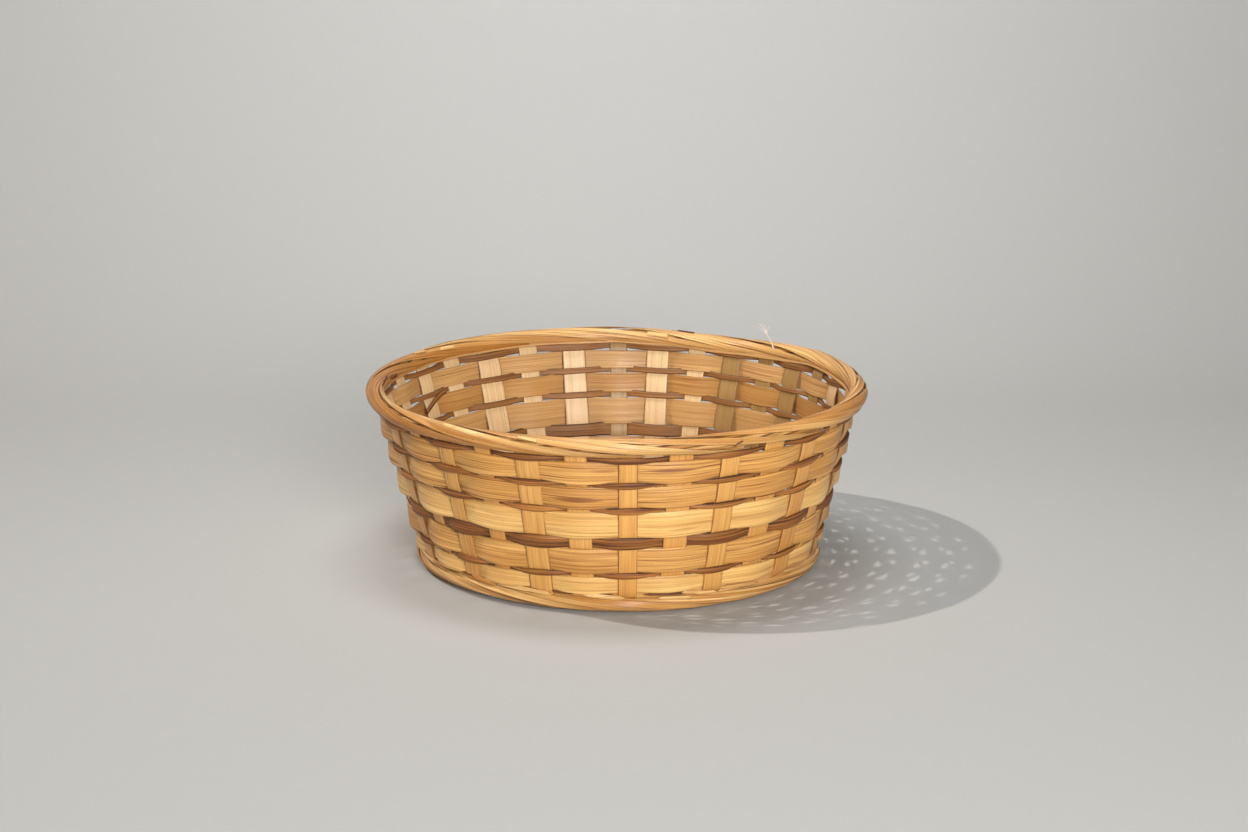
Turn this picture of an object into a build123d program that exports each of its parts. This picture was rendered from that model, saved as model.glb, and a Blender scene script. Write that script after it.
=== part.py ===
from build123d import *
import math
import os

# Round woven splint basket, open at the top, without handles or a lid.
# Flat upright stakes stand in a ring and lean outwards.  Five wide weavers and
# five narrow dark weavers run round them, over one stake and under the next.
# A rolled rim closes the top, a rolled foot carries the basket, and an open
# check-woven mat lies on the foot roll as the floor.
# Millimetres, +Z up.  Origin on the ground under the centre of the foot.
# Angles run anticlockwise seen from above and start at the front (-Y).

# Overall shape
RIM_OUTER_RADIUS = 125.0
RIM_WIDTH = 9.0
RIM_HEIGHT = 8.6
RIM_CENTRE_Z = 86.5
FOOT_OUTER_RADIUS = 102.5
FOOT_WIDTH = 7.5
FOOT_HEIGHT = 8.5
FOOT_ROUNDING = 2.6
WALL_RADIUS_AT_GROUND = 98.4
WALL_SLOPE = 0.2526

# Upright stakes
STAKE_COUNT = 32
STAKE_WIDTH = 10.5
STAKE_THICKNESS = 0.9
STAKE_OFFSET = 0.55
STAKE_FOOT_Z = 8.8
STAKE_TOP_Z = 81.9

# Hand spacing of the stakes: a slow drift round the ring, in degrees
DRIFT_MEAN = 2.9
DRIFT_ONCE_COS = 1.05
DRIFT_ONCE_SIN = 2.2
DRIFT_TWICE_COS = -1.6
DRIFT_TWICE_SIN = 0.4

# Wide weavers: lower and upper edge of each, from the foot up
WIDE_EDGES = ((12.0, 18.1), (21.9, 33.5), (40.1, 52.2), (56.0, 65.4), (69.2, 78.1))
WIDE_THICKNESS = 0.8
WIDE_SWING = 0.55

# Dark weavers: middle height and height of each, from the foot up
DARK_ROWS = ((20.0, 3.2), (36.8, 6.0), (54.1, 3.2), (67.3, 3.2), (80.0, 3.2))
DARK_THICKNESS = 1.6
DARK_SWING = 2.25

# How square the over-and-under path is, and how finely it is drawn
PATH_SQUARENESS = 2.2
POINTS_PER_STAKE = 4

# Floor mat of crossing splints
MAT_SPLINTS = 8
MAT_PITCH = 22.0
MAT_SPLINT_WIDTH = 10.5
MAT_SPLINT_THICKNESS = 0.9
MAT_SWING = 0.55
MAT_MIDDLE_Z = 10.1
MAT_RADIUS = 98.0
MAT_TURN = 5.6

# Loose end of a dark weaver, hanging inside the wall
TAIL_LENGTH = 18.0
TAIL_WIDTH = 3.0
TAIL_THICKNESS = 0.8
TAIL_STAKE = 21.0
TAIL_Z = 65.8
TAIL_LEAN = -70.0
TAIL_OFFSET = -3.9


def stake_angle(number):
    """Angle of a stake in degrees; fractions lie between two stakes."""
    even = 360.0 / STAKE_COUNT * number
    turn = math.radians(even)
    once = DRIFT_ONCE_COS * math.cos(turn) + DRIFT_ONCE_SIN * math.sin(turn)
    twice = DRIFT_TWICE_COS * math.cos(2 * turn) + DRIFT_TWICE_SIN * math.sin(2 * turn)
    return even + DRIFT_MEAN + once + twice


def ring_point(number, radius, height):
    """A point at a stake's angle, at a radius and a height."""
    turn = math.radians(stake_angle(number))
    return (radius * math.sin(turn), -radius * math.cos(turn), height)


def wall_radius(height):
    """Radius of the middle of the leaning wall."""
    return WALL_RADIUS_AT_GROUND + WALL_SLOPE * height


def over_and_under(number):
    """+1 at an even stake, -1 at an odd one, with a flat path at each."""
    raw = math.cos(math.pi * number)
    return math.tanh(PATH_SQUARENESS * raw) / math.tanh(PATH_SQUARENESS)


def woven_plug(low, high, swing, shift):
    """Solid inside a wavy leaning wall, between two heights."""
    wires = []
    for height in (low, high):
        points = []
        for step in range(STAKE_COUNT * POINTS_PER_STAKE):
            number = step / POINTS_PER_STAKE
            radius = wall_radius(height) + swing * over_and_under(number) + shift
            points.append(ring_point(number, radius, height))
        wires.append(Wire([Edge.make_spline([Vector(*p) for p in points], periodic=True)]))
    return Solid.make_loft(wires, True)


def weaver(low, high, thickness, swing):
    """Closed band that swings in and out of the stakes."""
    outer = woven_plug(low, high, swing, thickness / 2)
    inner = woven_plug(low, high, swing, -thickness / 2)
    return outer - inner


def stake(number, offset):
    """Flat leaning strap at one stake position."""
    lean = math.degrees(math.atan(WALL_SLOPE))
    length = (STAKE_TOP_Z - STAKE_FOOT_Z) / math.cos(math.radians(lean))
    middle = (STAKE_TOP_Z + STAKE_FOOT_Z) / 2
    strap = Box(STAKE_WIDTH, STAKE_THICKNESS * math.cos(math.radians(lean)), length)
    strap = Rot(lean, 0, 0) * strap
    strap = Pos(0, -(wall_radius(middle) + offset), middle) * strap
    strap = Rot(0, 0, stake_angle(number)) * strap
    # The ends are cut level, clear of the rim and foot rolls.
    span = STAKE_TOP_Z - STAKE_FOOT_Z - 0.6
    slab = Pos(0, 0, middle) * Box(400, 400, span)
    return strap & slab


def mat_splint(place, phase):
    """One floor splint along X at a place across it, rising and dipping."""
    reach = math.sqrt(MAT_RADIUS**2 - (abs(place) + MAT_SPLINT_WIDTH / 2) ** 2)
    half = MAT_SPLINT_THICKNESS / 2
    flat = MAT_SPLINT_WIDTH / 2 + 1.2
    stops = [(-reach, None)]
    for index in range(MAT_SPLINTS):
        centre = (index - (MAT_SPLINTS - 1) / 2) * MAT_PITCH
        if abs(centre) + flat > reach:
            continue
        side = MAT_SWING if (index + phase) % 2 == 0 else -MAT_SWING
        stops.append((centre - flat, side))
        stops.append((centre + flat, side))
    stops.append((reach, None))
    line = [(x, stops[1][1] if z is None else z) for x, z in stops[:-1]]
    line.append((reach, stops[-2][1]))
    top = [(x, z + half) for x, z in line]
    low = [(x, z - half) for x, z in reversed(line)]
    with BuildSketch(Plane.XZ) as profile:
        with BuildLine():
            Polyline(*top, *low, close=True)
        make_face()
    bar = extrude(profile.sketch, MAT_SPLINT_WIDTH / 2, both=True)
    return Pos(0, place, MAT_MIDDLE_Z) * bar


def mat_layer(turn, phase):
    """All the floor splints that run one way."""
    bars = []
    for index in range(MAT_SPLINTS):
        place = (index - (MAT_SPLINTS - 1) / 2) * MAT_PITCH
        bar = mat_splint(place, index + phase)
        bars.append(Rot(0, 0, turn) * bar)
    return bars


def ring(section):
    """A section in the XZ plane turned once round Z."""
    return revolve(section, Axis.Z)


def save(shapes, name):
    """Write one node, single solid or a group of separate solids."""
    solids = []
    for shape in shapes:
        solids.extend(shape.solids())
    whole = solids[0] if len(solids) == 1 else Compound(children=solids)
    whole.label = name
    export_step(whole, "parts/" + name + ".step")
    print(name, len(solids), round(sum(s.volume for s in solids), 1))


os.makedirs("parts", exist_ok=True)

# Rolled rim: an oval roll that overhangs the wall a little
rim_middle = RIM_OUTER_RADIUS - RIM_WIDTH / 2
rim_section = Plane.XZ * Pos(rim_middle, RIM_CENTRE_Z) * Ellipse(RIM_WIDTH / 2, RIM_HEIGHT / 2)
save([ring(rim_section)], "rim_roll")

# Rolled foot: flatter, with a level underside that stands on the ground
foot_middle = FOOT_OUTER_RADIUS - FOOT_WIDTH / 2
foot_shape = RectangleRounded(FOOT_WIDTH, FOOT_HEIGHT, FOOT_ROUNDING)
foot_section = Plane.XZ * Pos(foot_middle, FOOT_HEIGHT / 2) * foot_shape
save([ring(foot_section)], "foot_roll")

# Stakes: even ones lie outside the wide weavers, odd ones inside them
for number in range(STAKE_COUNT):
    outside = number % 2 == 0
    offset = STAKE_OFFSET if outside else -STAKE_OFFSET
    side = "outer" if outside else "inner"
    label = "%s_stake_%02d" % (side, number // 2 + 1)
    save([stake(number, offset)], label)

# Wide weavers pass inside the even stakes, dark weavers outside them
for row, (low, high) in enumerate(WIDE_EDGES):
    band = weaver(low, high, WIDE_THICKNESS, -WIDE_SWING)
    save([band], "wide_weaver_%d" % (row + 1))

for row, (middle, height) in enumerate(DARK_ROWS):
    low = middle - height / 2
    high = middle + height / 2
    band = weaver(low, high, DARK_THICKNESS, DARK_SWING)
    save([band], "dark_weaver_%d" % (row + 1))

# Floor mat: two sets of splints, woven over and under
save(mat_layer(MAT_TURN, 0), "floor_splints_across")
save(mat_layer(MAT_TURN + 90, 0), "floor_splints_along")

# Loose end of the fourth dark weaver, lying inside an inner stake
tail = Rot(0, TAIL_LEAN, 0) * Box(TAIL_WIDTH, TAIL_THICKNESS, TAIL_LENGTH)
tail = Rot(math.degrees(math.atan(WALL_SLOPE)), 0, 0) * tail
tail = Pos(0, -(wall_radius(TAIL_Z) + TAIL_OFFSET), TAIL_Z) * tail
save([Rot(0, 0, stake_angle(TAIL_STAKE)) * tail], "loose_tail")
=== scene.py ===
import math

import bmesh
import bpy
import numpy as np
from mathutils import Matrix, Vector


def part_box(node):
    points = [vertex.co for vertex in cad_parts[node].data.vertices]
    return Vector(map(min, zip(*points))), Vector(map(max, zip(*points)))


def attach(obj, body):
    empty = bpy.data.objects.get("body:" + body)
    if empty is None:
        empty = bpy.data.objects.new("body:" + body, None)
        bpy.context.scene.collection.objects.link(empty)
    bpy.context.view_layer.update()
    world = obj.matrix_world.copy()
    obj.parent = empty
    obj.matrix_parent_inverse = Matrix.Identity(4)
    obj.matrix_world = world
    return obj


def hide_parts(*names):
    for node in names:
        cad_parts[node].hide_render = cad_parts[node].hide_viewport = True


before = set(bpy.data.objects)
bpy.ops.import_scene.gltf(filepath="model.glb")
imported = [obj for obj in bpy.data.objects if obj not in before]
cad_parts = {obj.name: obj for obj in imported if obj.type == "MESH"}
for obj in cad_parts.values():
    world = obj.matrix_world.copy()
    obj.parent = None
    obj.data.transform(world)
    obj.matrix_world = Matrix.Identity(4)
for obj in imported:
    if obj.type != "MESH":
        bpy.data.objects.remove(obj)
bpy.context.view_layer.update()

# Round basket woven from split bamboo: flat upright stakes, wide pale weavers,
# narrow smoked weavers, a rim and a foot rolled from thin strands.
# Lengths below are millimetres and become metres as each mesh is made.
# Angles run anticlockwise from the front (-Y), seen from above.

MM = 0.001
UP = np.array([0.0, 0.0, 1.0])
STAKES = 32
ROWS = 5
LEAN = 0.2526            # how far the wall leans out for each millimetre up
SEED = 41


# ---------------------------------------------------------------- measures

def node_box(name):
    low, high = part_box(name)
    return np.array(low) / MM, np.array(high) / MM


def stake_node(number):
    side = "outer" if number % 2 == 0 else "inner"
    return "%s_stake_%02d" % (side, number // 2 + 1)


rim_low, rim_high = node_box("rim_roll")
foot_low, foot_high = node_box("foot_roll")
RIM_RADIUS = rim_high[0]
RIM_Z = (rim_low[2] + rim_high[2]) / 2
RIM_TALL = rim_high[2] - rim_low[2]
RIM_WIDE = 9.0           # radial width of the rim roll
FOOT_RADIUS = foot_high[0]
FOOT_TALL = foot_high[2] - foot_low[2]
FOOT_WIDE = 7.5          # radial width of the foot roll

stake_angles = []
stake_radii = []
for number in range(STAKES):
    low, high = node_box(stake_node(number))
    middle = (low + high) / 2
    angle = math.degrees(math.atan2(middle[0], -middle[1])) % 360
    if number > 16 and angle < 90:
        angle += 360
    stake_angles.append(angle)
    stake_radii.append(math.hypot(middle[0], middle[1]))
STAKE_MIDDLE = (low[2] + high[2]) / 2
WALL_AT_GROUND = sum(stake_radii) / STAKES - LEAN * STAKE_MIDDLE

# The stakes at the back left drifted a little round as the wall was woven.
for number, degrees in ((17, 0.5), (18, 1.7), (19, 2.0), (20, 2.2), (21, 1.9), (22, 1.0)):
    stake_angles[number] += degrees

ring_numbers = np.arange(-STAKES, 2 * STAKES + 1)
ring_angles = np.array([stake_angles[n % STAKES] + 360.0 * (n // STAKES) for n in ring_numbers])

dark_rows = [tuple(v[2] for v in node_box("dark_weaver_%d" % (row + 1))) for row in range(ROWS)]
dark_z = [(low + high) / 2 for low, high in dark_rows]


def angle_of(number):
    """Angle in degrees of a stake number, fractions between two stakes."""
    return np.interp(number, ring_numbers, ring_angles)


def bump(angle, middle, spread):
    """A smooth hump round the ring, 1 at its middle angle."""
    away = (np.asarray(angle, float) - middle + 180) % 360 - 180
    return np.exp(-(away / spread) ** 2)


# By hand the wall came out fuller on the left and slimmer on the right: how
# much, its middle angle and spread, and the two heights it grows between.
WALL_SWELLS = ((1.5, 271, 40, 35, 70), (-1.2, 88, 35, 66, 76))


def wall(height, angle=None):
    """Radius of the wall at a height, with its swells where an angle is given."""
    radius = WALL_AT_GROUND + LEAN * height
    if angle is not None:
        for size, middle, spread, low, high in WALL_SWELLS:
            grown = np.clip((height - low) / (high - low), 0, 1)
            radius = radius + size * bump(angle, middle, spread) * grown
    return radius


# The rim is not level: angle and height over its mean.
RIM_LIFT = ((121, 1.0), (137, -0.4), (149, -1.4), (161, -0.9), (171, 0.4), (181, 1.0), (202, 1.4),
            (226, 1.4), (243, 0.6), (270, 0.9), (300, 0.0), (360, 0.0), (460, 0.0))


def rim_lift(angle):
    """How far the rim rises above its mean height at an angle."""
    at, rise = (list(column) for column in zip(*RIM_LIFT))
    turned = (np.asarray(angle, float) - at[0]) % 360 + at[0]
    return np.interp(turned, at + [at[0] + 360], rise + [rise[0]])


# The rim roll is also thicker at its left end.
RIM_SWELL = 1.4


def rim_swell(angle):
    return RIM_SWELL * bump(angle, 271, 45)


def no_swell(angle):
    return 0.0


def slit(angle):
    """How open the weave is: looser on the right-hand side."""
    return 1.1 * bump(angle, 84, 42) + 0.1 * bump(angle, 0, 60)


def packed(angle):
    """How tightly the rows are beaten together: most along the back."""
    return bump(angle, 190, 75)


ROW_RISES = (0.1, 0.3, 1.7, 1.5, 1.4)


def row_rise(row, angle):
    """How far a row of smoked cane climbs along the back."""
    return ROW_RISES[row] * bump(angle, 185, 65)


def foot_lift(angle):
    """The foot rides a little high at the front left."""
    return 0.5 + 1.6 * bump(angle, 318, 38)


def outward(angle):
    """Unit vector away from the basket's axis."""
    turn = np.radians(angle)
    return np.stack([np.sin(turn), -np.cos(turn), np.zeros_like(turn)], -1)


def forward(angle):
    """Unit vector along the ring, anticlockwise."""
    turn = np.radians(angle)
    return np.stack([np.cos(turn), np.sin(turn), np.zeros_like(turn)], -1)


def unit(vectors):
    return vectors / np.linalg.norm(vectors, axis=-1, keepdims=True)


def blend(t, a, b, c, d):
    """A smooth curve from knot b to knot c, by the knots on both sides."""
    return 0.5 * (2 * b + (c - a) * t + (2 * a - 5 * b + 4 * c - d) * t ** 2
                  + (3 * b - a - 3 * c + d) * t ** 3)


def through(points, count):
    """Evenly spaced places along a run of points, one array for each value."""
    points = np.array(points, float)
    t = np.linspace(0, len(points) - 1, count)
    return [np.interp(t, np.arange(len(points)), column) for column in points.T]


def wander(rng, places, step, size):
    """Slow smooth hand-made drift along a line, in millimetres."""
    span = places[-1] - places[0]
    count = max(4, int(span / step) + 3)
    knots = rng.normal(0, size, count)
    x = (places - places[0]) / max(span, 1e-6) * (count - 3) + 1
    i = np.clip(x.astype(int), 1, count - 3)
    return blend(x - i, *(knots[i + s] for s in (-1, 0, 1, 2)))


def ring_wander(rng, numbers, knots_count, size):
    """The same drift round a closed ring."""
    knots = rng.normal(0, size, knots_count)
    x = (numbers % STAKES) / STAKES * knots_count
    i = x.astype(int)
    return blend(x - i, *(knots[(i + s) % knots_count] for s in (-1, 0, 1, 2)))


# ---------------------------------------------------------------- node tools

# Kinds of node that come often.
MATH = "ShaderNodeMath"
VECTORS = "ShaderNodeVectorMath"
RANGE = "ShaderNodeMapRange"
MIX = "ShaderNodeMix"
NOISE = "ShaderNodeTexNoise"
STORED = "GeometryNodeInputNamedAttribute"

def add(tree, kind, settings=None, inputs=None):
    """Adds one node with its settings, and its inputs as values or links.

    Settings given as a word are the node's operation; inputs in brackets go
    in by their order, on a range from low, from high, to low, to high; a node
    given as an input lends its first output.
    """
    node = tree.nodes.new(kind)
    if isinstance(settings, str):
        settings = {"operation": settings}
    if isinstance(inputs, tuple):
        inputs = dict(enumerate(inputs))
    for key, value in (settings or {}).items():
        setattr(node, key, value)
    for key, value in (inputs or {}).items():
        if isinstance(value, bpy.types.Node):
            value = value.outputs[0]
        if isinstance(value, bpy.types.NodeSocket):
            tree.links.new(value, node.inputs[key])
        else:
            node.inputs[key].default_value = value
    return node


def linear(code, alpha=1.0):
    """An sRGB hex colour as linear RGBA."""
    values = []
    for place in (1, 3, 5):
        v = int(code[place:place + 2], 16) / 255
        values.append(v / 12.92 if v <= 0.04045 else ((v + 0.055) / 1.055) ** 2.4)
    return (*values, alpha)


# ---------------------------------------------------------------- splint tree

def splint_tree():
    """Geometry Nodes: a closed flat splint along each path it is given.

    A path is a run of points with the attributes out, side, wide, thick, run,
    tint and strip.  Row by row a rounded section is laid round each point.
    """
    tree = bpy.data.node_groups.new("splint_along_path", "GeometryNodeTree")
    face = tree.interface
    face.new_socket("Geometry", in_out="INPUT", socket_type="NodeSocketGeometry")
    for name, kind, value in (
        ("Section sides", "NodeSocketInt", 12),
        ("Section squareness", "NodeSocketFloat", 0.5),
        ("Crown", "NodeSocketFloat", 0.0),
        ("Ripple height", "NodeSocketFloat", 0.0),
        ("Ripple length", "NodeSocketFloat", 0.01),
        ("Seed", "NodeSocketFloat", 0.0),
    ):
        socket = face.new_socket(name, in_out="INPUT", socket_type=kind)
        socket.default_value = value
    face.new_socket("Material", in_out="INPUT", socket_type="NodeSocketMaterial")
    face.new_socket("Geometry", in_out="OUTPUT", socket_type="NodeSocketGeometry")
    given = add(tree, "NodeGroupInput").outputs
    path = given["Geometry"]
    size = add(tree, "GeometryNodeAttributeDomainSize", {"component": "MESH"}, (path,))
    columns = add(tree, MATH, "ADD", (given["Section sides"], 1.0))
    grid = add(tree, "GeometryNodeMeshGrid", None, {
        "Vertices X": size.outputs["Point Count"], "Vertices Y": columns.outputs[0]})
    index = add(tree, "GeometryNodeInputIndex")
    share = add(tree, MATH, "DIVIDE", (index, columns))
    row = add(tree, MATH, "FLOOR", (share,))
    column = add(tree, MATH, "FLOORED_MODULO", (index, columns))

    sampled = {}
    for name, kind in (("position", "FLOAT_VECTOR"), ("out", "FLOAT_VECTOR"),
                       ("side", "FLOAT_VECTOR"),
                       ("wide", "FLOAT"), ("thick", "FLOAT"), ("run", "FLOAT"), ("tint", "FLOAT"),
                       ("strip", "FLOAT"), ("mark", "FLOAT")):
        source = add(tree, STORED, {"data_type": kind}, {"Name": name})
        if name == "position":
            source = add(tree, "GeometryNodeInputPosition")
        got = add(tree, "GeometryNodeSampleIndex",
                  {"data_type": kind, "domain": "POINT", "clamp": True}, {
            "Geometry": path, "Value": source.outputs[0], "Index": row.outputs[0]})
        sampled[name] = got.outputs[0]

    turn = add(tree, MATH, "DIVIDE", (column, given["Section sides"]))
    turn = add(tree, MATH, "MULTIPLY", (turn, 2 * math.pi))
    ends = []
    for operation in ("COSINE", "SINE"):
        raw = add(tree, MATH, {"operation": operation}, (turn,))
        sign = add(tree, MATH, "SIGN", (raw,))
        much = add(tree, MATH, "ABSOLUTE", (raw,))
        bent = add(tree, MATH, "POWER", (much, given["Section squareness"]))
        whole = add(tree, MATH, "MULTIPLY", (sign, bent))
        ends.append(whole.outputs[0])
    across, skin = ends

    half_wide = add(tree, MATH, "MULTIPLY", (sampled["wide"], 0.5))
    half_thick = add(tree, MATH, "MULTIPLY", (sampled["thick"], 0.5))
    reach = add(tree, MATH, "MULTIPLY", (across, half_wide))
    rise = add(tree, MATH, "MULTIPLY", (skin, half_thick))
    # The crown cups the splint: its middle stands proud of its two edges.
    square = add(tree, MATH, "MULTIPLY", (across, across))
    dip = add(tree, MATH, "MULTIPLY", (square, given["Crown"]))
    rise = add(tree, MATH, "SUBTRACT", (rise, dip))
    # Ripple: low unevenness left by splitting and bending the cane.
    ripple_scale = add(tree, MATH, "DIVIDE", (1.0, given["Ripple length"]))
    noise = add(tree, NOISE, {"noise_dimensions": "4D"}, {
        "Vector": sampled["position"], "W": given["Seed"], "Scale": ripple_scale, "Detail": 0.0})
    centred = add(tree, MATH, "SUBTRACT", (noise, 0.5))
    ripple = add(tree, MATH, "MULTIPLY", (centred, given["Ripple height"]))
    rise = add(tree, MATH, "ADD", (rise, ripple))

    sideways = add(tree, VECTORS, "SCALE", {0: sampled["side"], "Scale": reach})
    upwards = add(tree, VECTORS, "SCALE", {0: sampled["out"], "Scale": rise})
    place = add(tree, VECTORS, "ADD", (sampled["position"], sideways))
    place = add(tree, VECTORS, "ADD", (place, upwards))
    made = add(tree, "GeometryNodeSetPosition", None,
               {"Geometry": grid.outputs["Mesh"], "Position": place})

    # UVMap holds real lengths, one unit to 100 mm: along the splint, then across.
    run = add(tree, MATH, "MULTIPLY", (sampled["run"], 10.0))
    breadth = add(tree, MATH, "MULTIPLY", (reach, 10.0))
    named = [add(tree, STORED, {"data_type": "FLOAT"}, {"Name": name}).outputs[0]
             for name in ("lengthwise", "crosswise")]
    flat = add(tree, "ShaderNodeCombineXYZ", None, {"X": named[0], "Y": named[1]})
    last = made.outputs[0]
    for name, kind, domain, value in (
        ("strip", "FLOAT", "POINT", sampled["strip"]),
        ("tint", "FLOAT", "POINT", sampled["tint"]),
        ("mark", "FLOAT", "POINT", sampled["mark"]),
        ("across", "FLOAT", "POINT", across),
        ("skin", "FLOAT", "POINT", skin),
        ("lengthwise", "FLOAT", "POINT", run.outputs[0]),
        ("crosswise", "FLOAT", "POINT", breadth.outputs[0]),
        ("UVMap", "FLOAT2", "CORNER", flat.outputs[0]),
    ):
        store = add(tree, "GeometryNodeStoreNamedAttribute", {"data_type": kind, "domain": domain},
                    {
            "Geometry": last, "Name": name, "Value": value})
        last = store.outputs[0]

    # Faces that would bridge from the end of one splint to the next are dropped.
    owner = add(tree, STORED, {"data_type": "FLOAT"}, {"Name": "strip"})
    nearest = add(tree, MATH, "ROUND", (owner,))
    off = add(tree, MATH, "SUBTRACT", (owner, nearest))
    off = add(tree, MATH, "ABSOLUTE", (off,))
    bridge = add(tree, MATH, "GREATER_THAN", (off, 0.1))
    cut = add(tree, "GeometryNodeDeleteGeometry", {"domain": "FACE"},
              {"Geometry": last, "Selection": bridge})
    merged = add(tree, "GeometryNodeMergeByDistance", None, {"Geometry": cut, "Distance": 0.000002})
    smooth = add(tree, "GeometryNodeSetShadeSmooth", None,
                 {"Geometry": merged, "Shade Smooth": True})
    real = add(tree, "GeometryNodeRealizeInstances", None, {"Geometry": smooth})
    painted = add(tree, "GeometryNodeSetMaterial", None,
                  {"Geometry": real, "Material": given["Material"]})
    add(tree, "NodeGroupOutput", None, {"Geometry": painted})
    return tree


SPLINT_TREE = splint_tree()


def lay_splints(name, paths, material, sides=12, squareness=0.5, crown=0.0, ripple=0.0,
                ripple_length=8.0, seed=0):
    """Makes one piece from splint paths, each a dict of arrays in millimetres."""
    rows = {key: [] for key in ("at", "out", "side", "wide", "thick", "run", "tint", "strip",
                                "mark")}
    for number, path in enumerate(paths):
        count = len(path["at"])
        order = np.arange(count)
        wide, thick = (np.zeros(count) + path[key] for key in ("wide", "thick"))
        if not path.get("closed"):
            # An extra row of no size at each end closes it.
            order = np.concatenate([[0], order, [count - 1]])
            wide = np.concatenate([[0], wide, [0]])
            thick = np.concatenate([[0], thick, [0]])
        rows["at"].append(path["at"][order] * MM)
        rows["out"].append(path["out"][order])
        rows["side"].append(path["side"][order])
        rows["wide"].append(wide * MM)
        rows["thick"].append(thick * MM)
        step = np.linalg.norm(np.diff(path["at"], axis=0), axis=1)
        run = np.concatenate([[0], np.cumsum(step)])[order]
        rows["run"].append((run + path.get("start", 0.0)) * MM)
        rows["tint"].append(np.full(len(order), path.get("tint", 0.0)))
        rows["strip"].append(np.full(len(order), float(number)))
        rows["mark"].append(np.array(path.get("mark", np.zeros(count)))[order])
    data = {key: np.concatenate(value) for key, value in rows.items()}
    mesh = bpy.data.meshes.new(name + "_path")
    mesh.vertices.add(len(data["at"]))
    mesh.vertices.foreach_set("co", data["at"].astype(np.float32).ravel())
    for key in ("out", "side"):
        layer = mesh.attributes.new(key, "FLOAT_VECTOR", "POINT")
        layer.data.foreach_set("vector", data[key].astype(np.float32).ravel())
    for key in ("wide", "thick", "run", "tint", "strip", "mark"):
        layer = mesh.attributes.new(key, "FLOAT", "POINT")
        layer.data.foreach_set("value", data[key].astype(np.float32))
    guide = bpy.data.objects.new(name + "_path", mesh)
    bpy.context.scene.collection.objects.link(guide)
    modifier = guide.modifiers.new("splint", "NODES")
    modifier.node_group = SPLINT_TREE
    values = {"Section sides": sides, "Section squareness": float(squareness), "Crown": crown * MM,
              "Ripple height": ripple * MM, "Ripple length": ripple_length * MM,
              "Seed": float(seed), "Material": material}
    for item in SPLINT_TREE.interface.items_tree:
        if item.in_out == "INPUT" and item.name in values:
            modifier[item.identifier] = values[item.name]
    bpy.context.view_layer.update()
    done = guide.evaluated_get(bpy.context.evaluated_depsgraph_get())
    solid = bpy.data.meshes.new_from_object(done)
    solid.name = name
    bpy.data.objects.remove(guide)
    shape = bmesh.new()
    shape.from_mesh(solid)
    bmesh.ops.recalc_face_normals(shape, faces=shape.faces)
    shape.to_mesh(solid)
    shape.free()
    piece = bpy.data.objects.new(name, solid)
    bpy.context.scene.collection.objects.link(piece)
    return piece


def settle(piece, slot, *nodes):
    """The piece belongs to the one rigid body and stands for these nodes."""
    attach(piece, "root")
    if nodes:
        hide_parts(*nodes)
    return piece


# ---------------------------------------------------------------- materials

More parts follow.
